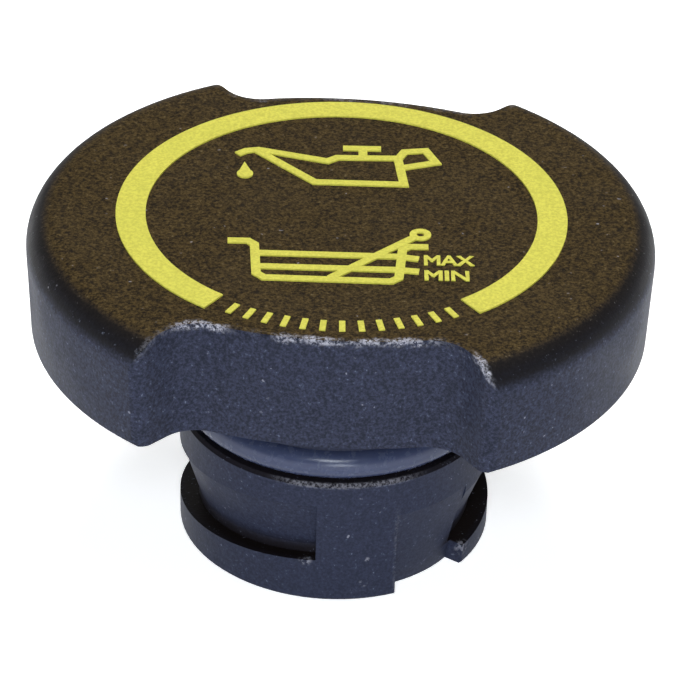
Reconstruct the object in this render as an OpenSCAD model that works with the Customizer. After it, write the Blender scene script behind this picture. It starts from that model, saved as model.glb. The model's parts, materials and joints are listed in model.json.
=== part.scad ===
// Engine oil filler cap with a hollow head, a sealing ring and a bayonet neck.
// The neck's lower face lies on z = 0 and the cap's own axis is Z.
// The two grip recesses lie on the Y axis and the two wings on the X axis.

/* [Head] */
// Largest diameter of the head, measured over the wings
head_d = 76; // [72:0.5:84]
// Height of the head, from its flat top to the skirt's lower edge
head_h = 14.8; // [13:0.1:18]
// Rounding of the upper rim
rim_r = 3.9; // [3:0.1:4.5]
// Inward lean of the skirt below the rim, in degrees
skirt_draft = 2.5; // [0.5:0.1:4]
// Chamfer round the skirt's lower outer edge
skirt_edge = 0.3; // [0.1:0.1:0.6]
// Thickness of the crown
crown_t = 2.6; // [2:0.1:3.4]
// Thickness of the skirt and of the recess walls
skirt_t = 2.4; // [1.8:0.1:2.8]

/* [Grip recesses] */
// Depth of a recess at its middle, in from the largest diameter
grip_depth = 9.6; // [8.5:0.1:10.5]
// Width of a recess from wing corner to wing corner
grip_mouth_w = 40.7; // [38:0.1:42]
// Angle by which each side of a recess opens outward
grip_flare = 40; // [34:1:44]
// Radius of the bowed wall at the back of a recess
grip_bow_r = 50; // [44:1:60]
// Fillet between the bowed wall and the sides
grip_fillet_r = 5; // [4:0.1:6]
// Rounding of the wings' upright corners
wing_r = 2; // [1.2:0.1:2.6]
// Angle at which that rounding meets the walls, so that a fine line shows there
wing_line_a = 10; // [6:1:16]

/* [Underside] */
// Number of radial ribs below the crown
rib_n = 6; // [4:2:8]
// Thickness of a rib
rib_t = 1.6; // [1.2:0.1:2]
// Height from the skirt's lower edge up to the ribs
rib_rise = 4; // [2.5:0.1:6]
// Outer diameter of the stem between the crown and the shoulder
stem_d = 35; // [33:0.5:36]
// Diameter of the hollow inside the neck
bore_d = 27; // [24:0.5:28]
// Thickness left above the hollow
bore_roof_t = 3.2; // [2.8:0.1:4]
// Chamfer at the mouth of the hollow
bore_edge = 0.6; // [0.3:0.1:1]

/* [Neck] */
// Height of the bayonet, from the lower face to the flange
bayonet_h = 14.3; // [14.2:0.1:16]
// Thickness of the flange below the seal
flange_h = 2.95; // [2.5:0.05:4]
// Diameter of the flange and of the bayonet, which enter the filler
pilot_d = 38.8; // [38:0.1:39.4]
// Draft of the bayonet's outer walls, in degrees
bayonet_draft = 0.5; // [0.3:0.1:1]
// Chamfer of the neck's lower outer edge
neck_edge = 0.4; // [0.2:0.1:0.8]
// Chamfer of the flange's upper edge
flange_edge = 0.4; // [0.2:0.1:0.7]
// Height of the land above the seal
land_h = 1.95; // [1.9:0.05:2.6]
// Diameter of the land above the seal
land_d = 37; // [36:0.1:38]
// Thickness of the shoulder above the land
shoulder_h = 1.4; // [1:0.1:2]
// Diameter of the shoulder that stops on the filler's rim
shoulder_d = 41; // [40:0.1:43]
// Height from the shoulder up to the skirt's lower edge
shoulder_gap = 3.8; // [3.4:0.1:6]

/* [Seal] */
// Diameter of the seal's round section
seal_d = 4; // [3.6:0.1:4.3]
// Diameter of the seal's centre line
seal_ring_d = 35; // [34.6:0.1:35.4]
// Clearance between the seal and each side of its groove
seal_side_gap = 0.15; // [0.1:0.05:0.3]
// Clearance between the seal and the floor of its groove
seal_floor_gap = 0.1; // [0.05:0.05:0.3]
// Draft of the groove's sides, in degrees
groove_draft = 2; // [1:0.5:4]

/* [Bayonet] */
// Angle that each full-height block takes up
stop_a = 29.7; // [24:0.1:34]
// Angle of each entry gap
entry_a = 32.5; // [26:0.1:36]
// Angle from the front of the neck to the first block
bayonet_turn = -1.2; // [-10:0.1:10]
// Diameter inside an entry gap at the neck's lower face
entry_foot_d = 33.6; // [32:0.1:35]
// Height at which an entry gap runs out into the neck's wall
entry_h = 12; // [10:0.5:14]
// Height of a lug's upper face at its middle
lug_h = 4.45; // [4:0.05:5]
// Tilt of a slot, which draws the cap down as it turns, in degrees
slot_tilt = 5.5; // [4:0.5:6]
// Height of a slot between the lug and the roof
slot_h = 7.95; // [7:0.05:8.1]
// Diameter inside a slot at the lug
slot_foot_d = 34.2; // [33.6:0.1:35]
// Height of the upright part of a slot's inner wall
slot_foot_h = 1.2; // [0.6:0.1:2]
// Depth that is left at a slot's roof
slot_ledge = 0.3; // [0.2:0.05:0.5]

/* [Print] */
// Height by which the printed marks stand out
print_t = 0.2; // [0.1:0.05:0.4]
// Angle of the printed marks against the grip recesses
print_turn = 5.7; // [-10:0.1:10]
// Outer diameter of the printed ring
ring_outer_d = 54.4; // [52:0.1:55]
// Width of the printed ring's band
ring_w = 3.6; // [2.5:0.1:4.5]
// Opening of the printed ring, at the front
ring_gap_a = 72; // [50:1:90]
// Width of the printed lines
line_w = 1.1; // [0.8:0.05:1.3]
// Diameter of the printed drop
drop_d = 2; // [1.6:0.1:2.6]
// Diameter of the ring at the end of the printed dipstick
eye_d = 2.6; // [2.2:0.1:3]
// Diameter of the hole in that ring
eye_hole_d = 0.9; // [0.6:0.1:1.2]

/* [Hidden] */
// Fineness of round shapes, and of the largest ones
$fn = 96;
large_fn = 180;
// Distance by which a cut runs past the solid that it is made in
over = 1;
half_turn = 180;
front = -90;

head_r = head_d / 2;
pilot_r = pilot_d / 2;
stem_r = stem_d / 2;
seal_ring_r = seal_ring_d / 2;

// Seal groove: it is wider at its mouth by the draft of its sides
groove_floor_r = (seal_ring_d - seal_d) / 2 - seal_floor_gap;
groove_lip_r = pilot_r - flange_edge;
land_r = land_d / 2;
groove_half_w = seal_d / 2 + seal_side_gap;
lip_drop = (groove_lip_r - seal_ring_r) * tan(groove_draft);
land_rise = (land_r - seal_ring_r) * tan(groove_draft);
floor_in = (seal_ring_r - groove_floor_r) * tan(groove_draft);

// Heights of the stack, from the neck's lower face upward
z_flange = bayonet_h;
z_groove = z_flange + flange_h;
z_seal = z_groove + lip_drop + groove_half_w;
z_land = z_seal + groove_half_w + land_rise;
z_stop = z_land + land_h;
z_stem = z_stop + shoulder_h;
z_skirt = z_stem + shoulder_gap;
z_top = z_skirt + head_h;
z_crown = z_top - crown_t;

// Rim: centre of the rounding, and where the leaning skirt leaves it
rim_x = head_r - rim_r;
rim_z = z_top - rim_r;
lean_x = rim_x + rim_r * cos(skirt_draft);
lean_z = rim_z - rim_r * sin(skirt_draft);
foot_x = lean_x - (lean_z - z_skirt) * tan(skirt_draft);

// Recess, in the plan view: the side wall is a straight line at the flare angle.
// Along and across are distances in the frame that is turned to that line.
mouth_x = grip_mouth_w / 2;
mouth_y = sqrt(head_r * head_r - mouth_x * mouth_x);
side_c = mouth_x * cos(grip_flare) - mouth_y * sin(grip_flare);
bow_y = head_r - grip_depth - grip_bow_r;
bow_c = -bow_y * sin(grip_flare);
bow_l = bow_y * cos(grip_flare);
fillet_c = side_c - grip_fillet_r;
fillet_l = bow_l + sqrt(pow(grip_bow_r + grip_fillet_r, 2) - pow(fillet_c - bow_c, 2));
wing_in = wing_r * cos(wing_line_a);
wing_c = side_c + wing_in;
wing_l = sqrt(pow(head_r - wing_in, 2) - wing_c * wing_c);
bow_dir = atan2(bow_l - fillet_l, bow_c - fillet_c);
rim_dir = atan2(wing_l, wing_c);
wing_tilt = atan(tan(skirt_draft) / sin(rim_dir));
grip_near = head_r - 2 * grip_depth;
grip_far = head_r + grip_depth;

// Bayonet: foot of its outer wall, slope of an entry gap, and where each slot starts.
// A slot reaches a little into the entry gap, so that the two are open to each other.
bayonet_foot_r = pilot_r - bayonet_h * tan(bayonet_draft);
entry_slope = (pilot_r - entry_foot_d / 2) / entry_h;
slot_lap_a = 2;
slot_start = stop_a + entry_a - slot_lap_a;
slot_mid = (stop_a + entry_a + half_turn) / 2;

// The excess of a sharp corner over a rounding of radius r, between two directions
module corner_excess(r, dir1, dir2, h) {
    reach = 2 * r / (1 + cos(dir2 - dir1));
    difference() {
        linear_extrude(h)
            polygon([
                [0, 0],
                reach * [cos(dir1), sin(dir1)],
                reach * [cos(dir1) + cos(dir2), sin(dir1) + sin(dir2)],
                reach * [cos(dir2), sin(dir2)]
            ]);
        translate([0, 0, -over])
            cylinder(r = r, h = h + 2 * over);
    }
}

// Half width of a recess at a distance from the axis, with its walls moved by grow
function side_x(y, grow) = (side_c + grow + y * sin(grip_flare)) / cos(grip_flare);

// One recess as a solid to cut, on the +Y side. grow moves its walls outward.
module grip_space(grow) {
    z0 = z_skirt - over;
    h = head_h + 2 * over;
    difference() {
        translate([0, 0, z0])
            linear_extrude(h)
                polygon([
                    [-side_x(grip_near, grow), grip_near],
                    [side_x(grip_near, grow), grip_near],
                    [side_x(grip_far, grow), grip_far],
                    [-side_x(grip_far, grow), grip_far]
                ]);
        translate([0, bow_y, z0 - over])
            cylinder(r = grip_bow_r - grow, h = h + 2 * over, $fn = large_fn);
        for (side = [0, 1])
            mirror([side, 0, 0])
                rotate([0, 0, -grip_flare])
                    translate([fillet_c, fillet_l, z0 - over])
                        corner_excess(grip_fillet_r + grow, bow_dir, 0, h + 2 * over);
    }
}

// The upright rounding of one wing corner, leaning with the skirt
module wing_corner_cut() {
    rotate([0, 0, -grip_flare])
        translate([wing_c, wing_l, rim_z])
            rotate([-wing_tilt, 0, 0])
                translate([0, 0, -head_h])
                    corner_excess(wing_r, rim_dir, half_turn, 2 * head_h);
}

// Everything that is cut from the head for one recess
module grip_cut() {
    grip_space(0);
    for (side = [0, 1])
        mirror([side, 0, 0])
            wing_corner_cut();
}

// Section of the head before the recesses are cut
module head_section() {
    polygon([
        [0, z_skirt],
        [foot_x - skirt_edge, z_skirt],
        [foot_x + skirt_edge * tan(skirt_draft), z_skirt + skirt_edge],
        [lean_x, lean_z],
        [rim_x, rim_z],
        [rim_x, z_top],
        [0, z_top]
    ]);
    intersection() {
        translate([rim_x, rim_z])
            circle(rim_r);
        translate([rim_x, lean_z])
            square(2 * rim_r);
    }
}

// Section of the hollow below the crown, a wall's thickness inside the head
module hollow_section() {
    in_r = rim_r - crown_t;
    in_x = lean_x - skirt_t / cos(skirt_draft);
    polygon([
        [0, z_skirt - over],
        [foot_x - skirt_t / cos(skirt_draft) - over * tan(skirt_draft), z_skirt - over],
        [in_x, lean_z],
        [in_x - in_r, z_crown],
        [0, z_crown]
    ]);
}

// Radial ribs, later trimmed by the walls of the hollow
module rib_plates() {
    for (i = [0 : rib_n - 1])
        rotate([0, 0, -front + i * 2 * half_turn / rib_n])
            translate([0, -rib_t / 2, z_skirt + rib_rise])
                cube([head_r, rib_t, head_h]);
}

module head() {
    difference() {
        rotate_extrude($fn = large_fn)
            head_section();
        for (end = [0, 1])
            mirror([0, end, 0])
                grip_cut();
        difference() {
            rotate_extrude($fn = large_fn)
                hollow_section();
            for (end = [0, 1])
                mirror([0, end, 0])
                    grip_space(skirt_t);
            rib_plates();
        }
    }
}

// The turned neck before the bayonet is cut: wall, flange, seal groove, land, shoulder and stem
module neck_section() {
    polygon([
        [0, 0],
        [bayonet_foot_r - neck_edge, 0],
        [bayonet_foot_r + neck_edge * tan(bayonet_draft), neck_edge],
        [pilot_r, z_flange],
        [pilot_r, z_groove - flange_edge],
        [groove_lip_r, z_groove],
        [groove_floor_r, z_seal - groove_half_w + floor_in],
        [groove_floor_r, z_seal + groove_half_w - floor_in],
        [land_r, z_land],
        [land_r, z_stop],
        [shoulder_d / 2, z_stop],
        [shoulder_d / 2, z_stem],
        [stem_r, z_stem],
        [stem_r, z_crown + over],
        [0, z_crown + over]
    ]);
}

// Gap through which a lug of the filler enters. It runs out into the neck's wall.
module entry_cut() {
    rotate([0, 0, stop_a])
        rotate_extrude(angle = entry_a)
            polygon([
                [entry_foot_d / 2 - over * entry_slope, -over],
                [pilot_r + over, -over],
                [pilot_r + over, entry_h + over / entry_slope]
            ]);
}

// Section of a slot, drawn about its middle height
module slot_section() {
    polygon([
        [slot_foot_d / 2, -slot_h / 2],
        [pilot_r + 2 * over, -slot_h / 2],
        [pilot_r + 2 * over, slot_h / 2],
        [pilot_r - slot_ledge, slot_h / 2],
        [slot_foot_d / 2, slot_foot_h - slot_h / 2]
    ]);
}

// Tilted slot from an entry gap to the next block. The lug is what it leaves below it.
module slot_cut() {
    intersection() {
        rotate([0, 0, slot_start])
            rotate_extrude(angle = half_turn - slot_start)
                square([pilot_r + over, z_groove]);
        rotate([0, 0, slot_mid])
            translate([0, 0, lug_h + slot_h / 2])
                rotate([slot_tilt, 0, 0])
                    rotate_extrude()
                        slot_section();
    }
}

module neck() {
    difference() {
        rotate_extrude()
            neck_section();
        for (i = [0, 1])
            rotate([0, 0, front + bayonet_turn + i * half_turn]) {
                entry_cut();
                slot_cut();
            }
    }
}

module cap_body() {
    color([0.16, 0.16, 0.18])
        difference() {
            union() {
                head();
                neck();
            }
            translate([0, 0, -over])
                cylinder(d = bore_d, h = z_top - bore_roof_t + over);
            translate([0, 0, -bore_edge])
                cylinder(d1 = bore_d + 4 * bore_edge, d2 = bore_d, h = 2 * bore_edge);
        }
}

module seal_ring() {
    color([0.09, 0.10, 0.12])
        translate([0, 0, z_seal])
            rotate_extrude()
                translate([seal_ring_r, 0])
                    circle(d = seal_d);
}

// Direction, as a unit vector, of one stretch of a row of points
function way(points, i) = (points[i + 1] - points[i]) / norm(points[i + 1] - points[i]);

// The way before and after point i. An end has only one.
function way_in(points, i) = way(points, max(i - 1, 0));
function way_out(points, i) = way(points, min(i, len(points) - 2));

// Half a line's width to the left of point i, set so that both stretches keep their width
function mitre(points, i) =
    let (
        u = way_in(points, i),
        v = way_out(points, i),
        left = [-u[1] - v[1], u[0] + v[0]]
    )
    left * (line_w / 2) / (1 + u * v);

// A printed line through a row of points, with square ends and mitred corners
module line_through(points) {
    ids = [for (i = [0 : len(points) - 1]) i];
    linear_extrude(print_t)
        polygon(concat(
            [for (i = ids) points[i] + mitre(points, i)],
            [for (i = ids) points[len(ids) - 1 - i] - mitre(points, len(ids) - 1 - i)]
        ));
}

// Sets a drawing on the head's top
module printed() {
    color([0.92, 0.88, 0.30])
        translate([0, 0, z_top])
            rotate([0, 0, print_turn])
                children();
}

module print_ring() {
    color([0.92, 0.88, 0.30])
        rotate([0, 0, print_turn + front + ring_gap_a / 2])
            rotate_extrude(angle = 2 * half_turn - ring_gap_a, $fn = large_fn)
                translate([ring_outer_d / 2 - ring_w, z_top])
                    square([ring_w, print_t]);
}

module print_oil_can() {
    printed() {
        // Spout and upper side
        line_through([[-12.8, 13.7], [-11.7, 14.6], [-10.2, 14.9], [-1.7, 12.4], [-0.5, 13.3], [7.3, 13.4]]);
        // Lower side, back and handle
        line_through([[-10.6, 14.9], [-3.3, 7.3], [7.6, 7.1], [6.9, 13.7]]);
        line_through([[7, 13.2], [7.8, 15], [10.4, 15.4], [11.6, 12.5], [7.2, 11]]);
        // Filler cap of the can and its stem
        line_through([[0.2, 15.65], [4.9, 15.65]]);
        line_through([[2.65, 13.2], [2.65, 15.6]]);
        // Falling drop
        translate([-11.8, 9])
            cylinder(d = drop_d, h = print_t);
        linear_extrude(print_t)
            polygon([[-12.6, 9.4], [-11.9, 11.8], [-11, 9.4]]);
    }
}

module print_sump() {
    printed() {
        // Outline of the sump
        line_through([[-13.6, -6.8], [-11.2, -6.8], [-10.4, -7.6], [-10.1, -14.1], [-9.2, -15],
            [5.8, -15.4], [6.7, -14.6], [7.2, -8.3], [8, -7.5], [10.3, -7.5]]);
        // Upper and lower oil level
        line_through([[-10.5, -9.5], [6.5, -9.8], [9.1, -10.3]]);
        line_through([[-10.4, -12.5], [6.5, -12.8], [9.1, -13.1]]);
        // Dipstick with its ring
        line_through([[-1.4, -14.9], [8.7, -5.3]]);
        translate([9.4, -4.7])
            difference() {
                cylinder(d = eye_d, h = print_t);
                translate([0, 0, -over])
                    cylinder(d = eye_hole_d, h = print_t + 2 * over);
            }
    }
}

cap_body();
seal_ring();
print_ring();
print_oil_can();
print_sump();
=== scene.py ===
# %% [markdown]
# An oil filler cap on a white table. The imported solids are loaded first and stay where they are.
# They could be modelled again here, but then the picture and the part could drift apart. So this
# file only adds finish: materials, light, a camera and the small printed marks.

# %% Load the frame
import json
import math

import bpy
from mathutils import Matrix, Vector


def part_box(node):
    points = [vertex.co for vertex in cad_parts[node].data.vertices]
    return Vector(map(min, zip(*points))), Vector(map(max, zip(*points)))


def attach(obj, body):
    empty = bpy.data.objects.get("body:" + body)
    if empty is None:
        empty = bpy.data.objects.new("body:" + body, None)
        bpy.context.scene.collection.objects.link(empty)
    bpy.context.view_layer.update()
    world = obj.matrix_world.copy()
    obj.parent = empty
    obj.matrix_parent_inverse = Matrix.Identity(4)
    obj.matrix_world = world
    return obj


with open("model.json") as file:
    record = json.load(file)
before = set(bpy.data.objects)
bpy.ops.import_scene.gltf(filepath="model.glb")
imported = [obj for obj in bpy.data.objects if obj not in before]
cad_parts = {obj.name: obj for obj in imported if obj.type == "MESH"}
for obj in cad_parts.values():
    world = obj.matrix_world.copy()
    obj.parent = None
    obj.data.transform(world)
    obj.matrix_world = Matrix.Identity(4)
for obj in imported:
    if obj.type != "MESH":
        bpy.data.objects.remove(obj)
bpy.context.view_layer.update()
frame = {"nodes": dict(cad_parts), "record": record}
scene = bpy.context.scene
bpy.ops.object.select_all(action="DESELECT")
print("nodes:", sorted(frame["nodes"]))

# %% [markdown]
# The real cap is a disc on its own axis, Z, with a flat top that carries the print. The sizes of
# that top could be typed in. They are read from the solids instead, so that a mark or a mask
# follows the cap when it changes.

# %% Sizes taken from the solids
MM = 0.001
body_low, body_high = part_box("cap_body")
ring_low, ring_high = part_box("print_ring")
TOP_Z = body_high[2]
INK = ring_high[2] - ring_low[2]
HEAD_R = (body_high[0] - body_low[0]) / 2
print("top at", TOP_Z, "head radius", HEAD_R, "ink thickness", INK)

# %% [markdown]
# The camera stands half a metre away, a little to the right of the front recess and 31 degrees
# above the top. A wide lens close by could frame the cap too, but it would swell the near rim. A
# long lens gives the flat perspective of a catalogue picture. The frame is 680 pixels square.

# %% Camera
LENS_PX = 4149.6
FRAME_PX = 680
SENSOR_MM = 36
CLIP_START = 0.01
STAND_OFF = 0.49997
STAND_AZ = math.radians(4.757)
STAND_EL = math.radians(30.825)
LOOK_AZ = math.radians(4.727)
LOOK_EL = math.radians(32.564)
LOOK_ROLL = math.radians(1.614)


def direction(azimuth, elevation):
    """Unit vector towards a viewer at that azimuth, counted from the front, and elevation."""
    return Vector((
        math.sin(azimuth) * math.cos(elevation),
        -math.cos(azimuth) * math.cos(elevation),
        math.sin(elevation),
    ))


def photo_camera():
    """The camera, turned by a matrix because its roll is easiest to state that way."""
    data = bpy.data.cameras.new("photo_camera")
    data.sensor_width = SENSOR_MM
    data.lens = SENSOR_MM * LENS_PX / FRAME_PX
    data.clip_start = CLIP_START
    camera = bpy.data.objects.new("photo_camera", data)
    scene.collection.objects.link(camera)
    back = direction(LOOK_AZ, LOOK_EL)
    level = Vector((math.cos(LOOK_AZ), math.sin(LOOK_AZ), 0))
    upright = back.cross(level)
    right = math.cos(LOOK_ROLL) * level + math.sin(LOOK_ROLL) * upright
    up = back.cross(right)
    place = Vector((0, 0, TOP_Z)) + STAND_OFF * direction(STAND_AZ, STAND_EL)
    camera.matrix_world = Matrix((
        (right.x, up.x, back.x, place.x),
        (right.y, up.y, back.y, place.y),
        (right.z, up.z, back.z, place.z),
        (0, 0, 0, 1),
    ))
    scene.camera = camera
    return camera


camera = photo_camera()
print("camera at", tuple(round(v, 3) for v in camera.location), "lens", round(camera.data.lens, 1))

# %% [markdown]
# The finishes below are node trees. They could be wired by hand in the shader editor. Written as
# code they can be read from top to bottom, so short helpers keep them brief. The first ones add a
# node, join two sockets, and do sums on sockets.

# %% Helpers for nodes and sums


def add(tree, kind, **values):
    """A new node. Keys are its properties, or its inputs where no property has that name."""
    node = tree.nodes.new(kind)
    for key, value in values.items():
        if hasattr(node, key):
            setattr(node, key, value)
        else:
            node.inputs[key.replace("_", " ")].default_value = value
    return node


def feed(tree, socket, value):
    """Joins a socket to an input, or writes a plain number or colour into it."""
    if isinstance(value, bpy.types.NodeSocket):
        tree.links.new(value, socket)
    else:
        socket.default_value = value


def calc(tree, operation, *values):
    """A Math node on sockets or numbers."""
    node = add(tree, "ShaderNodeMath", operation=operation)
    for socket, value in zip(node.inputs, values):
        feed(tree, socket, value)
    return node.outputs[0]


def times(tree, first, *others):
    """The product of two or more sockets or numbers."""
    for other in others:
        first = calc(tree, "MULTIPLY", first, other)
    return first


# %% [markdown]
# A mask says how much of an effect a point of the cap gets, from 0 to 1. It could be painted as a
# picture. Here it is made from smooth steps, noise and distances, which need no picture and show no
# seams.

# %% Helpers for masks and colours


def blend_colour(tree, factor, first, second):
    """A Mix node on two colours."""
    node = add(tree, "ShaderNodeMix", data_type="RGBA")
    feed(tree, node.inputs[0], factor)
    feed(tree, node.inputs[6], first)
    feed(tree, node.inputs[7], second)
    return node.outputs[2]


def ramp(tree, value, low, high, to_low=0.0, to_high=1.0):
    """A Map Range node with a smooth step between low and high."""
    node = add(tree, "ShaderNodeMapRange", interpolation_type="SMOOTHSTEP")
    for name, number in (("From Min", low), ("From Max", high), ("To Min", to_low), ("To Max", to_high)):
        node.inputs[name].default_value = number
    feed(tree, node.inputs["Value"], value)
    return node.outputs["Result"]


def fade(tree, value, low, high):
    """1 up to low, and a smooth fall to 0 at high."""
    return ramp(tree, value, low, high, 1.0, 0.0)


def noise(tree, where, scale, detail, roughness=0.6):
    """The value of a Noise texture, about 0.5 on average. The scale counts grains per metre."""
    node = add(tree, "ShaderNodeTexNoise", noise_dimensions="3D")
    node.inputs["Detail"].default_value = detail
    node.inputs["Roughness"].default_value = roughness
    feed(tree, node.inputs["Vector"], where)
    feed(tree, node.inputs["Scale"], scale)
    return node.outputs[0]


def parts_of(tree, vector):
    """The x, y and z of a vector."""
    node = add(tree, "ShaderNodeSeparateXYZ")
    feed(tree, node.inputs[0], vector)
    return node.outputs[0], node.outputs[1], node.outputs[2]


def length(tree, a, b):
    """The length of a flat vector with these two sides."""
    return calc(tree, "SQRT", calc(tree, "ADD", calc(tree, "POWER", a, 2), calc(tree, "POWER", b, 2)))


# %% [markdown]
# An effect such as grain could be wired again in each material. As a shader group with named inputs
# and outputs it is wired once, and each material places it with its own values.

# %% Helpers for groups and materials
FLOAT = "NodeSocketFloat"
VECTOR = "NodeSocketVector"


def new_group(name, inputs, outputs):
    """An empty shader group with float or vector sockets. Returns the tree and its two end nodes."""
    tree = bpy.data.node_groups.new(name, "ShaderNodeTree")
    for label, kind in inputs:
        tree.interface.new_socket(label, in_out="INPUT", socket_type=kind)
    for label, kind in outputs:
        tree.interface.new_socket(label, in_out="OUTPUT", socket_type=kind)
    return tree, add(tree, "NodeGroupInput"), add(tree, "NodeGroupOutput")


def placed_group(tree, group, **values):
    """A group node in a material, with its inputs set."""
    node = add(tree, "ShaderNodeGroup")
    node.node_tree = group
    for key, value in values.items():
        feed(tree, node.inputs[key.replace("_", " ")], value)
    return node


def new_material(name):
    """A material with its tree and its Principled BSDF."""
    material = bpy.data.materials.new(name)
    material.use_nodes = True
    tree = material.node_tree
    return material, tree, tree.nodes["Principled BSDF"]


# %% [markdown]
# The moulded plastic carries a spark-eroded grain: tiny pits, a fraction of a millimetre across,
# that the mould's wall gave it. A picture of such a grain could be wrapped round the cap, but it
# would show seams. Noise in space has none. One group makes the grain as a height, a speckle and a
# few bright glints, so that the black plastic and the ink that lies over it share it.

# %% Grain group
PIT_SHARE = 0.7
COARSE_PITCH = 0.45
PATCH_PITCH = 0.03


def grain_group():
    tree, ends_in, ends_out = new_group(
        "spark_grain",
        [("Vector", VECTOR), ("Grains per metre", FLOAT)],
        [("Height", FLOAT), ("Speckle", FLOAT), ("Glint", FLOAT), ("Patches", FLOAT)],
    )
    where = ends_in.outputs["Vector"]
    pitch = ends_in.outputs["Grains per metre"]
    pits = noise(tree, where, pitch, 2, 0.7)
    coarse = noise(tree, where, times(tree, pitch, COARSE_PITCH), 2)
    both = calc(tree, "ADD", times(tree, pits, PIT_SHARE), times(tree, coarse, 1 - PIT_SHARE))
    drift = noise(tree, where, times(tree, pitch, PATCH_PITCH), 4)
    feed(tree, ends_out.inputs["Height"], both)
    feed(tree, ends_out.inputs["Speckle"], ramp(tree, both, 0.36, 0.64))
    glint = times(tree, ramp(tree, pits, 0.62, 0.72), ramp(tree, coarse, 0.5, 0.66))
    feed(tree, ends_out.inputs["Glint"], glint)
    feed(tree, ends_out.inputs["Patches"], ramp(tree, drift, 0.3, 0.7))
    return tree


grain = grain_group()
print("group", grain.name, "with", len(grain.nodes), "nodes")

# %% [markdown]
# The upper edge of each grip recess is pale, partly from hands that wore the plastic and partly as a
# painted highlight where the edge catches light, and the real edge is a little round. The pale band could
# be painted as a picture, but a painted mask doesn't follow the part. So the distance to that edge line is
# worked out from the recess's own plan: a bowed wall, a side wall and a smooth corner between them, the
# same on all four quarters.

# %% Recess edge group
BOW_R = 50 * MM
BOW_Y = HEAD_R - 9.6 * MM - BOW_R
FLARE = math.radians(40)
MOUTH_X = 20.35 * MM
MOUTH_Y = math.sqrt(HEAD_R ** 2 - MOUTH_X ** 2)
SIDE_C = MOUTH_X * math.cos(FLARE) - MOUTH_Y * math.sin(FLARE)
CORNER_BLEND = 5.4 * MM
RIM_R = 3.9 * MM


def recess_edge_group():
    tree, ends_in, ends_out = new_group("recess_edge", [("Vector", VECTOR)], [("Distance", FLOAT)])
    x, y, z = parts_of(tree, ends_in.outputs["Vector"])
    x = calc(tree, "ABSOLUTE", x)
    y = calc(tree, "ABSOLUTE", y)
    bow = calc(tree, "SUBTRACT", length(tree, x, calc(tree, "SUBTRACT", y, BOW_Y)), BOW_R)
    across = calc(tree, "SUBTRACT", times(tree, y, math.sin(FLARE)), times(tree, x, math.cos(FLARE)))
    side = calc(tree, "ADD", across, SIDE_C)
    wall = calc(tree, "ABSOLUTE", calc(tree, "SMOOTH_MIN", bow, side, CORNER_BLEND))

    # The rim falls away on a quarter circle outside the flat top
    past_flat = calc(tree, "MAXIMUM", calc(tree, "SUBTRACT", length(tree, x, y), HEAD_R - RIM_R), 0)
    left = calc(tree, "SUBTRACT", RIM_R ** 2, calc(tree, "POWER", past_flat, 2))
    quarter = calc(tree, "SQRT", calc(tree, "MAXIMUM", left, 0))
    surface = calc(tree, "ADD", quarter, TOP_Z - RIM_R)
    below = calc(tree, "MAXIMUM", calc(tree, "SUBTRACT", surface, z), 0)
    feed(tree, ends_out.inputs["Distance"], length(tree, wall, below))
    return tree


recess_edge = recess_edge_group()
print("group", recess_edge.name, "with", len(recess_edge.nodes), "nodes")

# %% [markdown]
# The neck's flange has a pale upper edge, and each bayonet block a pale upright end, partly from rubbing
# on the filler and partly as a painted highlight where the edges catch light. As on the head, a mask could
# be painted. Here too the distance to the edge gives it, from 1 on the edge to 0 beside it.

# %% Neck edge group
FLANGE_R = 19.4 * MM
FLANGE_TOP = 17.25 * MM
BLOCK_TOP = 14.3 * MM
BLOCK_FADE = 4 * MM
BLOCK_END = math.radians(28.5)


def neck_edge_group():
    tree, ends_in, ends_out = new_group(
        "neck_edge", [("Vector", VECTOR)], [("Flange", FLOAT), ("Block", FLOAT)]
    )
    x, y, z = parts_of(tree, ends_in.outputs["Vector"])
    radius = length(tree, x, y)
    out = calc(tree, "SUBTRACT", radius, FLANGE_R)
    up = calc(tree, "SUBTRACT", z, FLANGE_TOP)
    feed(tree, ends_out.inputs["Flange"], fade(tree, length(tree, out, up), 0.25 * MM, 0.75 * MM))
    past = calc(tree, "ADD", times(tree, x, math.cos(BLOCK_END)), times(tree, y, math.sin(BLOCK_END)))
    near = fade(tree, calc(tree, "ABSOLUTE", past), 0.1 * MM, 0.5 * MM)
    outer = ramp(tree, radius, 18.3 * MM, 19.0 * MM)
    low = fade(tree, z, BLOCK_TOP - BLOCK_FADE, BLOCK_TOP)
    feed(tree, ends_out.inputs["Block"], times(tree, near, outer, low))
    return tree


neck_edge = neck_edge_group()
print("group", neck_edge.name, "with", len(neck_edge.nodes), "nodes")

# %% [markdown]
# Painted shade lies in the two bayonet slots: on each lug and a little way up the wall behind it. Such
# shade could come from how deep a place lies, but that needs rays and slows the render. A lug's upper face
# is a tilted plane, so the height above that plane tells where the painted shade goes. The two slots are
# the same after half a turn, so the plane's slope changes sign with the side.

# %% Slot shade group
LUG_Z = 4.45 * MM
SLOT_TILT = math.tan(math.radians(5.5))
SLOT_MID = math.radians(29.9)
SLOT_START = -15.2 * MM
SLOT_OUT_R = 18.9 * MM
SHADE_FULL = 0.3 * MM
SHADE_HIGH = 2.4 * MM


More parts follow.
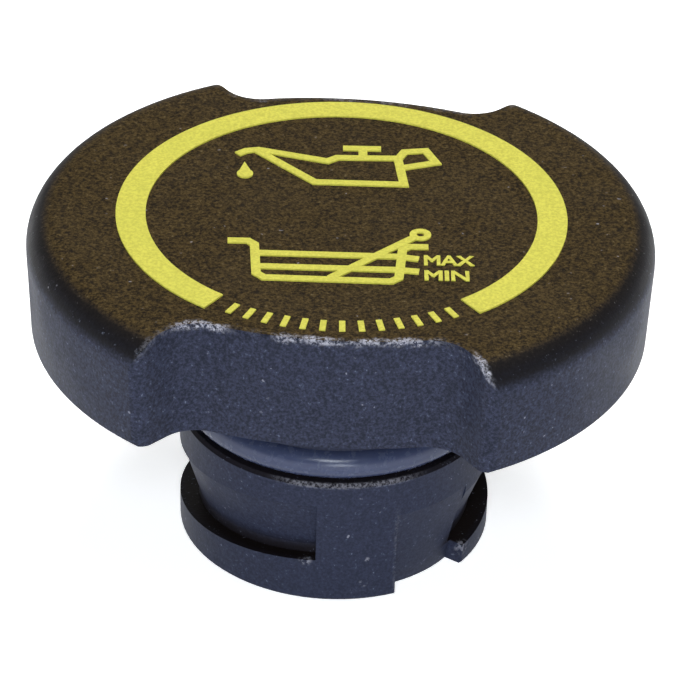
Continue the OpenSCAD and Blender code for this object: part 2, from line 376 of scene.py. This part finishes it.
def slot_shade_group():
    tree, ends_in, ends_out = new_group("slot_shade", [("Vector", VECTOR)], [("Shade", FLOAT)])
    x, y, z = parts_of(tree, ends_in.outputs["Vector"])
    along = calc(tree, "ADD", times(tree, x, -math.sin(SLOT_MID)), times(tree, y, math.cos(SLOT_MID)))
    along = times(tree, along, calc(tree, "SIGN", x))
    lug_top = calc(tree, "ADD", times(tree, along, SLOT_TILT), LUG_Z)
    height = calc(tree, "SUBTRACT", z, lug_top)
    above = times(tree, fade(tree, height, SHADE_FULL, SHADE_HIGH), ramp(tree, height, -0.2 * MM, -0.1 * MM))
    inside = fade(tree, length(tree, x, y), SLOT_OUT_R - 0.5 * MM, SLOT_OUT_R)
    started = ramp(tree, along, SLOT_START - 1 * MM, SLOT_START)
    feed(tree, ends_out.inputs["Shade"], times(tree, above, inside, started))
    return tree


slot_shade = slot_shade_group()
print("group", slot_shade.name, "with", len(slot_shade.nodes), "nodes")

# %% [markdown]
# Where fingers press and where light catches it, the edge of the front recess is pale, partly wear and
# partly painted highlight, and a few places on the neck are pale spots, partly knocks and partly painted
# highlight. Noise alone would spread such marks evenly. They are listed instead: the recess edge as
# stretches along x, and the spots as points with a radius, all in millimetres.

# %% Where the cap is pale from wear and painted highlight
# Each stretch starts, is full, ends to be full, and is gone
PALE_ZONES = [(-17.5, -15.5, -12.0, -10.0), (-6.0, -3.5, 12.0, 14.5), (17.4, 18.4, 20.0, 21.2)]
PALE_BASE = 0.15
REAR_SHARE = 0.35
# Each pale spot has its place and its radius
PALE_SPOTS = [
    (5.4, -18.5, 2.6, 0.7), (5.8, -18.4, 6.1, 0.45), (-0.9, -18.9, 12.4, 0.5),
    (-1.7, -19.2, 6.0, 1.1), (16.7, -9.1, 2.4, 1.4),
]
SPOT_CORE = 0.3


def pressed_and_lit(tree, x, y):
    """How pale the recess edge is along its length, from wear and painted highlight: the front recess in
    three places.
    """
    total = 0.0
    for start, full, end, gone in PALE_ZONES:
        zone = times(tree, ramp(tree, x, start * MM, full * MM), fade(tree, x, end * MM, gone * MM))
        total = calc(tree, "MAXIMUM", total, zone)
    share = ramp(tree, y, -1 * MM, 1 * MM, 1.0, REAR_SHARE)
    return times(tree, calc(tree, "ADD", times(tree, total, 1 - PALE_BASE), PALE_BASE), share)


def pale_spot_mask(tree, where):
    """1 at the few places on the neck that are pale from knocks and painted highlight, fading to 0 at
    their radius.
    """
    total = 0.0
    for x, y, z, radius in PALE_SPOTS:
        gap = add(tree, "ShaderNodeVectorMath", operation="DISTANCE")
        feed(tree, gap.inputs[0], where)
        gap.inputs[1].default_value = (x * MM, y * MM, z * MM)
        spot = fade(tree, gap.outputs["Value"], SPOT_CORE * radius * MM, radius * MM)
        total = calc(tree, "MAXIMUM", total, spot)
    return total


print("worn stretches:", len(PALE_ZONES), "knocks:", len(PALE_SPOTS))

# %% [markdown]
# Rubbed plastic is pale in specks, and the pale band, partly wear and partly painted highlight, wanders
# along its edge. A plain band along the edge would look drawn. So fine and broad noise break it up, and
# the neck's pale marks are specked too. A few small chips are strewn over the whole cap.

# %% Mask of wear and painted highlight
FINE_GRAIN = 2700.0
BROAD_GRAIN = 420.0
WANDER_GRAIN = 900.0
WANDER = 1.2 * MM
SPECK_GRAIN = 1500.0
CHIP_GRAIN = 1300.0
CHIP_REGION_GRAIN = 130.0
FLANGE_PALE_X = 3 * MM
FLANGE_SHARE = 0.35
BLOCK_SHARE = 0.10
SPOT_SHARE = 0.4
CHIP_SHARE = 0.45


def worn_and_lit_edge(tree, where, edge_distance, fine):
    """The pale band along the upper edge of the grip recesses, partly wear and partly painted highlight.
    """
    x, y, _ = parts_of(tree, where)
    broad = ramp(tree, noise(tree, where, BROAD_GRAIN, 3), 0.34, 0.56)
    around_zero = calc(tree, "SUBTRACT", noise(tree, where, WANDER_GRAIN, 2, 0.5), 0.5)
    wander = times(tree, around_zero, WANDER)
    near_edge = fade(tree, calc(tree, "ADD", edge_distance, wander), 0.25 * MM, 0.95 * MM)
    return times(tree, near_edge, pressed_and_lit(tree, x, y), fine, broad)


def worn_and_lit_neck(tree, where):
    """The pale marks on the flange's front edge and on the ends of the bayonet blocks, partly from rubbing
    and partly painted highlight.
    """
    neck_pale = placed_group(tree, neck_edge, Vector=where)
    aside = calc(tree, "ABSOLUTE", calc(tree, "SUBTRACT", parts_of(tree, where)[0], FLANGE_PALE_X))
    flange = times(tree, neck_pale.outputs["Flange"], fade(tree, aside, 5 * MM, 10 * MM), FLANGE_SHARE)
    return calc(tree, "MAXIMUM", flange, times(tree, neck_pale.outputs["Block"], BLOCK_SHARE))


def worn_and_lit_mask(tree, where, edge_distance):
    """How pale the plastic is: wear and painted highlight on the recess edges, flange and blocks, a few
    listed spots, and small chips.
    """
    fine = ramp(tree, noise(tree, where, FINE_GRAIN, 3, 0.75), 0.40, 0.60)
    worn_and_lit = worn_and_lit_edge(tree, where, edge_distance, fine)
    worn_and_lit = calc(tree, "MAXIMUM", worn_and_lit, times(tree, worn_and_lit_neck(tree, where), fine))
    specks = ramp(tree, noise(tree, where, SPECK_GRAIN, 3, 0.7), 0.47, 0.62)
    worn_and_lit = calc(tree, "MAXIMUM", worn_and_lit, times(tree, pale_spot_mask(tree, where), specks, SPOT_SHARE))
    chips = ramp(tree, noise(tree, where, CHIP_GRAIN, 1, 0.5), 0.74, 0.80)
    region = ramp(tree, noise(tree, where, CHIP_REGION_GRAIN, 2, 0.5), 0.45, 0.65)
    return calc(tree, "MAXIMUM", worn_and_lit, times(tree, chips, region, CHIP_SHARE))


# %% [markdown]
# The body is black polyamide, the same all over. Its top is painted a warm brown, a painted sheen, and its
# walls a colder blue, a painted reflection, while the round rim and the ledges are painted nearly pure
# black as painted shade. Separate materials would meet at hard lines. So one material turns its colour
# with the direction that the surface faces.

# %% Tones of the black plastic
# Painted light and shade: the top's warm tones are painted sheen, the walls' cold tones painted
# reflection, the neck, rim and ledge tones painted shade, and the glint colours painted highlights.
TOP_SHEEN = (0.090, 0.057, 0.017, 1)
TOP_SHEEN_LOW = (0.010, 0.006, 0.002, 1)
WALL_REFLECTION = (0.041, 0.047, 0.083, 1)
WALL_REFLECTION_LOW = (0.014, 0.016, 0.028, 1)
NECK_SHADE = (0.029, 0.034, 0.063, 1)
RIM_SHADE = (0.006, 0.005, 0.005, 1)
LEDGE_SHADE = (0.008, 0.005, 0.004, 1)
TOP_GLINT = (0.26, 0.21, 0.12, 1)
WALL_GLINT = (0.28, 0.32, 0.42, 1)
NECK_Z = 21.6 * MM
NECK_FADE = 4 * MM
NECK_SHADE_SHARE = 0.5
RIM_SHADE_SHARE = 0.9
LEDGE_SHADE_SHARE = 0.9
SLOT_SHADE_SHARE = 0.85
GLINT_SHARE = 0.5


def plastic_tone(tree, where, skin, facing_up, on_head, upward):
    """The plastic's colour before the pale marks, with painted sheen, reflection, shade and glints."""
    low_down = fade(tree, parts_of(tree, where)[2], NECK_Z, NECK_Z + NECK_FADE)
    # Painted sheen on what faces up, painted reflection on the walls, and painted shade on the neck under
    # the head.
    top = blend_colour(tree, skin.outputs["Speckle"], TOP_SHEEN_LOW, TOP_SHEEN)
    wall = blend_colour(tree, skin.outputs["Speckle"], WALL_REFLECTION_LOW, WALL_REFLECTION)
    wall = blend_colour(tree, times(tree, low_down, NECK_SHADE_SHARE), wall, NECK_SHADE)
    tone = blend_colour(tree, upward, wall, top)
    # Painted shade: the round rim between top and walls is painted nearly black.
    rim = times(tree, ramp(tree, facing_up, 0.05, 0.45), fade(tree, facing_up, 0.82, 0.985))
    tone = blend_colour(tree, times(tree, rim, on_head, RIM_SHADE_SHARE), tone, RIM_SHADE)
    # Painted shade: faces under the head that look up, such as the lug tops, are painted nearly black.
    ledge = times(tree, ramp(tree, facing_up, 0.3, 0.8), low_down, LEDGE_SHADE_SHARE)
    tone = blend_colour(tree, ledge, tone, LEDGE_SHADE)
    # Painted shade on each lug and a little way up the wall behind it.
    shade_in_slot = placed_group(tree, slot_shade, Vector=where).outputs["Shade"]
    tone = blend_colour(tree, times(tree, shade_in_slot, SLOT_SHADE_SHARE), tone, LEDGE_SHADE)
    # Painted highlights: bright glints from the grain, warm on the top and cold on the walls.
    glint_tone = blend_colour(tree, upward, WALL_GLINT, TOP_GLINT)
    return blend_colour(tree, times(tree, skin.outputs["Glint"], GLINT_SHARE), tone, glint_tone)


# %% [markdown]
# The recess's upper edge is sharp in the solid and a little round on the real cap. A bevel would
# round it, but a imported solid's mesh isn't changed. So a bump stands in for it: a height that falls
# away near the edge line, with the grain on top.

# %% Round edge and grain
EDGE_ROUND = 0.8 * MM
GRAIN_DEPTH = 0.09 * MM


def plastic_normal(tree, skin, edge_distance):
    """The rounding of the recess edge, as a height in metres, with the grain on top of it."""
    left = calc(tree, "MAXIMUM", calc(tree, "SUBTRACT", EDGE_ROUND, edge_distance), 0)
    fall = times(tree, calc(tree, "POWER", left, 2), -0.5 / EDGE_ROUND)
    round_edge = add(tree, "ShaderNodeBump", Strength=1.0, Distance=1.0)
    feed(tree, round_edge.inputs["Height"], fall)
    bump = add(tree, "ShaderNodeBump", Strength=0.5, Distance=GRAIN_DEPTH)
    feed(tree, bump.inputs["Height"], skin.outputs["Height"])
    feed(tree, bump.inputs["Normal"], round_edge.outputs[0])
    return bump.outputs[0]


# %% [markdown]
# All of this meets in one material. The plastic could be evenly satin, but the real top is duller
# than the walls, and its sheen varies in patches. So the roughness follows the grain group's
# patches, and what faces up gets some more of it.

# %% Black plastic
PLASTIC_GRAIN = 2900.0
# The pale colour of rubbed plastic, which also serves as the painted highlight on edges.
RUBBED_AND_LIT = (0.56, 0.55, 0.62, 1)
SATIN_LOW = 0.46
SATIN_HIGH = 0.56
TOP_DULLER = 0.16
PLASTIC_SHINE = 0.12


def black_plastic():
    material, tree, shader = new_material("black_moulded_plastic")
    coords = add(tree, "ShaderNodeTexCoord")
    where = coords.outputs["Object"]
    skin = placed_group(tree, grain, Vector=where, Grains_per_metre=PLASTIC_GRAIN)
    edge_distance = placed_group(tree, recess_edge, Vector=where).outputs["Distance"]
    facing_up = parts_of(tree, coords.outputs["Normal"])[2]
    on_head = ramp(tree, parts_of(tree, where)[2], TOP_Z - 1.5 * RIM_R, TOP_Z - RIM_R)
    upward = times(tree, ramp(tree, facing_up, 0.55, 0.99), on_head)
    tone = plastic_tone(tree, where, skin, facing_up, on_head, upward)
    # Pale wear and painted highlight lie over the painted tones.
    worn_and_lit = worn_and_lit_mask(tree, where, edge_distance)
    feed(tree, shader.inputs["Base Color"], blend_colour(tree, worn_and_lit, tone, RUBBED_AND_LIT))
    satin = ramp(tree, skin.outputs["Patches"], 0.0, 1.0, SATIN_LOW, SATIN_HIGH)
    matt = times(tree, upward, TOP_DULLER)
    feed(tree, shader.inputs["Roughness"], calc(tree, "ADD", satin, matt))
    shader.inputs["Specular IOR Level"].default_value = PLASTIC_SHINE
    feed(tree, shader.inputs["Normal"], plastic_normal(tree, skin, edge_distance))
    print(material.name, "has", len(tree.nodes), "nodes")
    return material


# %% [markdown]
# The seal is nitrile rubber, smooth and slightly oily, so it is the one glossy thing on the cap. A
# clear coat could give the oil. A low roughness that varies a little with the oil film is simpler,
# and it is enough at this size.

# %% Seal rubber
SEAL_DARK = (0.042, 0.052, 0.106, 1)
SEAL_PALE = (0.068, 0.084, 0.158, 1)
SEAL_SHINE = 0.35
FILM_GRAIN = 900.0
FILM_DEPTH = 0.03 * MM


def seal_rubber():
    material, tree, shader = new_material("seal_rubber")
    where = add(tree, "ShaderNodeTexCoord").outputs["Object"]
    film = noise(tree, where, FILM_GRAIN, 4)
    feed(tree, shader.inputs["Base Color"], blend_colour(tree, film, SEAL_DARK, SEAL_PALE))
    feed(tree, shader.inputs["Roughness"], ramp(tree, film, 0.3, 0.7, 0.20, 0.30))
    shader.inputs["Specular IOR Level"].default_value = SEAL_SHINE
    bump = add(tree, "ShaderNodeBump", Strength=0.2, Distance=FILM_DEPTH)
    feed(tree, bump.inputs["Height"], film)
    feed(tree, shader.inputs["Normal"], bump.outputs[0])
    print(material.name, "has", len(tree.nodes), "nodes")
    return material


# %% [markdown]
# The marks are one thick coat of yellow ink. It could be a flat yellow, but ink fills the grain
# only in part, so the texture still shows through as a fine mottle, and the ink is a little greener
# where it is thin. The plastic's grain group gives both.

# %% Yellow ink
INK_DARK = (0.66, 0.60, 0.075, 1)
INK_PALE = (0.84, 0.78, 0.115, 1)
INK_THIN = (0.62, 0.62, 0.08, 1)
THIN_SHARE = 0.30
INK_SHINE = 0.3
INK_GRAIN = 2600.0
INK_DEPTH = 0.06 * MM


def yellow_ink():
    material, tree, shader = new_material("yellow_ink")
    where = add(tree, "ShaderNodeTexCoord").outputs["Object"]
    skin = placed_group(tree, grain, Vector=where, Grains_per_metre=INK_GRAIN)
    tone = blend_colour(tree, skin.outputs["Speckle"], INK_DARK, INK_PALE)
    thin = times(tree, skin.outputs["Patches"], THIN_SHARE)
    feed(tree, shader.inputs["Base Color"], blend_colour(tree, thin, tone, INK_THIN))
    feed(tree, shader.inputs["Roughness"], ramp(tree, skin.outputs["Speckle"], 0.0, 1.0, 0.5, 0.62))
    shader.inputs["Specular IOR Level"].default_value = INK_SHINE
    bump = add(tree, "ShaderNodeBump", Strength=0.35, Distance=INK_DEPTH)
    feed(tree, bump.inputs["Height"], skin.outputs["Height"])
    feed(tree, shader.inputs["Normal"], bump.outputs[0])
    print(material.name, "has", len(tree.nodes), "nodes")
    return material


# %% [markdown]
# The real cap has three substances: plastic, rubber and ink. Each solid could be given its finish
# by name, but the part's record already says which substance each one is, so it is read from there.

# %% Finishes on the solids
FINISHES = {
    "black_plastic": black_plastic(),
    "seal_rubber": seal_rubber(),
    "yellow_print": yellow_ink(),
}
for row in frame["record"]["subparts"]:
    node = frame["nodes"][row["node"]]
    node.data.materials.clear()
    node.data.materials.append(FINISHES[row["material_slot"]])
    print(row["node"], "gets", node.data.materials[0].name)

# %% [markdown]
# The marks made here lie on the top as the solids' ink does. They could keep a place of their own as
# objects, but a solid's place is in its mesh, and the ink's pattern reads the mesh's coordinates. So
# each mark's place is applied before it gets the ink and rides with the cap.

# %% Finishing a mark


def finish_ink_piece(piece):
    """Applies the piece's place, gives it the ink and lets it ride with the cap."""
    bpy.ops.object.select_all(action="DESELECT")
    piece.select_set(True)
    bpy.context.view_layer.objects.active = piece
    bpy.ops.object.transform_apply(location=True, rotation=True, scale=True)
    piece.data.materials.clear()
    piece.data.materials.append(FINISHES["yellow_print"])
    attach(piece, "root")
    print(piece.name, "has", len(piece.data.polygons), "faces")


# %% [markdown]
# Two words stand beside the sump's level lines. Letters could be drawn as outlines by hand, but the
# built-in typeface is close enough. Each word is a text object with a thickness, made a mesh, and
# grown a little outward so that it is as bold as print. It then lies on the flat top as ink does.

# %% Level words
PRINT_TURN = math.radians(5.7)
WORD_HEIGHT = 2.2 * MM
WORD_THICK = 0.06
WORD_BOLD = 0.06
CURVE_STEPS = 6
MERGE_GAP = 1e-5
# Each word has the x and y of its lower left corner and its width, in millimetres before the turn
WORDS = {"MAX": (9.7, -11.6, 6.0), "MIN": (9.7, -15.0, 5.3)}


def is_closed(piece):
    """True when each edge of the mesh joins exactly two faces."""
    uses = {}
    for face in piece.data.polygons:
        for edge in face.edge_keys:
            uses[edge] = uses.get(edge, 0) + 1
    return set(uses.values()) == {2}


def word_mesh(word):
    """The word as a closed mesh in the typeface's own units."""
    bpy.ops.object.select_all(action="DESELECT")
    bpy.ops.object.text_add()
    text = bpy.context.object
    text.name = "word_" + word.lower()
    text.data.body = word
    text.data.size = 1.0
    text.data.extrude = WORD_THICK
    text.data.resolution_u = CURVE_STEPS
    bpy.ops.object.convert(target="MESH")
    bpy.ops.object.mode_set(mode="EDIT")
    bpy.ops.mesh.select_all(action="SELECT")
    bpy.ops.mesh.remove_doubles(threshold=MERGE_GAP)
    bpy.ops.mesh.normals_make_consistent(inside=False)
    bpy.ops.transform.shrink_fatten(value=WORD_BOLD)
    bpy.ops.object.mode_set(mode="OBJECT")
    return bpy.context.object


def level_word(word, x, y, width):
    piece = word_mesh(word)
    print(word, "closed:", is_closed(piece))
    low = Vector(map(min, zip(*(v.co for v in piece.data.vertices))))
    high = Vector(map(max, zip(*(v.co for v in piece.data.vertices))))
    size = high - low
    fit = Matrix.Diagonal((width * MM / size.x, WORD_HEIGHT / size.y, INK / size.z, 1))
    lay = Matrix.Translation((x * MM, y * MM, TOP_Z))
    turn = Matrix.Rotation(PRINT_TURN, 4, "Z")
    piece.matrix_world = turn @ lay @ fit @ Matrix.Translation(-low)
    finish_ink_piece(piece)


for word, place in WORDS.items():
    level_word(word, *place)

# %% [markdown]
# The gap at the front of the printed ring holds a row of plain tick marks, all the same. Each could
# be made on its own. It is quicker and more even to shape one, a thin block with edges that are a
# little round, and to turn copies of it about the cap's axis.

# %% Ring ticks
TICKS = 13
TICK_SPAN = math.radians(60)
TICK_MID_R = 25.4 * MM
TICK_LONG = 2.2 * MM
TICK_WIDE = 0.75 * MM
TICK_ROUND = 0.05 * MM


def one_tick():
    """The first tick, at the front of the ring and not yet turned."""
    bpy.ops.object.select_all(action="DESELECT")
    bpy.ops.mesh.primitive_cube_add(size=1)
    tick = bpy.context.object
    tick.name = "ring_ticks"
    tick.dimensions = (TICK_WIDE, TICK_LONG, INK)
    tick.location = (0, -TICK_MID_R, TOP_Z + INK / 2)
    bpy.ops.object.transform_apply(location=True, rotation=True, scale=True)
    bpy.ops.object.mode_set(mode="EDIT")
    bpy.ops.mesh.select_all(action="SELECT")
    bpy.ops.mesh.bevel(offset=TICK_ROUND, segments=2)
    bpy.ops.object.mode_set(mode="OBJECT")
    return tick


def ring_ticks():
    tick = one_tick()
    row = [tick]
    for _ in range(TICKS - 1):
        copy = bpy.data.objects.new("tick", tick.data.copy())
        scene.collection.objects.link(copy)
        row.append(copy)
    bpy.ops.object.select_all(action="DESELECT")
    for n, one in enumerate(row):
        turn = PRINT_TURN + TICK_SPAN * (n / (TICKS - 1) - 0.5)
        one.data.transform(Matrix.Rotation(turn, 4, "Z"))
        one.select_set(True)
    bpy.context.view_layer.objects.active = tick
    bpy.ops.object.join()
    finish_ink_piece(tick)


ring_ticks()

# %% [markdown]
# The cap stands on a white table. A curved backdrop would do as well, but a large plane is enough
# because nobody sees its end. It takes the cap's soft shadow. For rays from the camera and mirror
# rays it also glows, more strongly away from the cap, so that it shows white and the shadow stays.

# %% Table
TABLE_SIZE = 4.0
TABLE_TONE = (0.93, 0.93, 0.93, 1)
TABLE_ROUGH = 0.9
GLOW_NEAR = 0.68
GLOW_FAR = 1.0
NEAR_R = 0.12
FAR_R = 0.50


def seen_directly(tree):
    """1 for rays that show a surface or a reflection of it, and 0 for rays that only carry light."""
    path = add(tree, "ShaderNodeLightPath")
    mirrored = calc(tree, "MAXIMUM", path.outputs["Is Glossy Ray"], path.outputs["Is Transmission Ray"])
    return calc(tree, "MAXIMUM", path.outputs["Is Camera Ray"], mirrored)


def white_table():
    bpy.ops.object.select_all(action="DESELECT")
    bpy.ops.mesh.primitive_plane_add(size=TABLE_SIZE)
    table = bpy.context.object
    table.name = "table"
    material, tree, shader = new_material("white_table")
    shader.inputs["Base Color"].default_value = TABLE_TONE
    shader.inputs["Roughness"].default_value = TABLE_ROUGH
    shader.inputs["Emission Color"].default_value = (1, 1, 1, 1)
    x, y, _ = parts_of(tree, add(tree, "ShaderNodeTexCoord").outputs["Object"])
    glow = ramp(tree, length(tree, x, y), NEAR_R, FAR_R, GLOW_NEAR, GLOW_FAR)
    feed(tree, shader.inputs["Emission Strength"], times(tree, seen_directly(tree), glow))
    table.data.materials.append(material)
    print("table is", table.dimensions.x, "m wide")


white_table()

# %% [markdown]
# The room is a soft white surround, dimmer overhead, so that the rounded rim reads as a dark band between
# the top and the walls, deepened by the rim's painted shade. An even white room would light everything
# alike and hide the form.
# A large lamp above and behind gives the ink its level, a smaller cool lamp in front lights the
# recess and its edge, and a low one reaches the seal and the neck under the head.

# %% Light
WHITE = (1, 1, 1)
COOL = (0.86, 0.93, 1.0)
LAMP_DISTANCE = 1.2
SKY_LOW = 0.50
SKY_HIGH = 0.07
# Each lamp has its azimuth and elevation in degrees, its width in metres, its power and its colour
LAMPS = {
    "lamp_above": (175, 70, 0.6, 9, WHITE),
    "lamp_front": (2, 38, 0.35, 6.6, COOL),
    "lamp_low": (8, 7, 0.35, 3, COOL),
    "lamp_left": (-70, 30, 0.4, 0.4, COOL),
    "lamp_right": (75, 30, 0.4, 0.6, COOL),
}


def studio_world():
    world = bpy.data.worlds.new("studio")
    scene.world = world
    world.use_nodes = True
    tree = world.node_tree
    background = tree.nodes["Background"]
    height = parts_of(tree, add(tree, "ShaderNodeTexCoord").outputs["Generated"])[2]
    sky = ramp(tree, height, 0.04, 0.36, SKY_LOW, SKY_HIGH)
    backdrop = times(tree, seen_directly(tree), fade(tree, height, 0.08, 0.20))
    feed(tree, background.inputs["Strength"], calc(tree, "MAXIMUM", sky, backdrop))
    background.inputs["Color"].default_value = (*WHITE, 1)


def soft_lamp(name, azimuth, elevation, size, power, colour):
    data = bpy.data.lights.new(name, "AREA")
    data.shape = "DISK"
    data.size = size
    data.energy = power
    data.color = colour
    lamp = bpy.data.objects.new(name, data)
    scene.collection.objects.link(lamp)
    toward = direction(math.radians(azimuth), math.radians(elevation))
    lamp.location = toward * LAMP_DISTANCE
    lamp.rotation_euler = toward.to_track_quat("Z", "Y").to_euler()
    print(name, "at", tuple(round(v, 2) for v in lamp.location))


studio_world()
for name, values in LAMPS.items():
    soft_lamp(name, *values)
scene.view_settings.view_transform = "Standard"
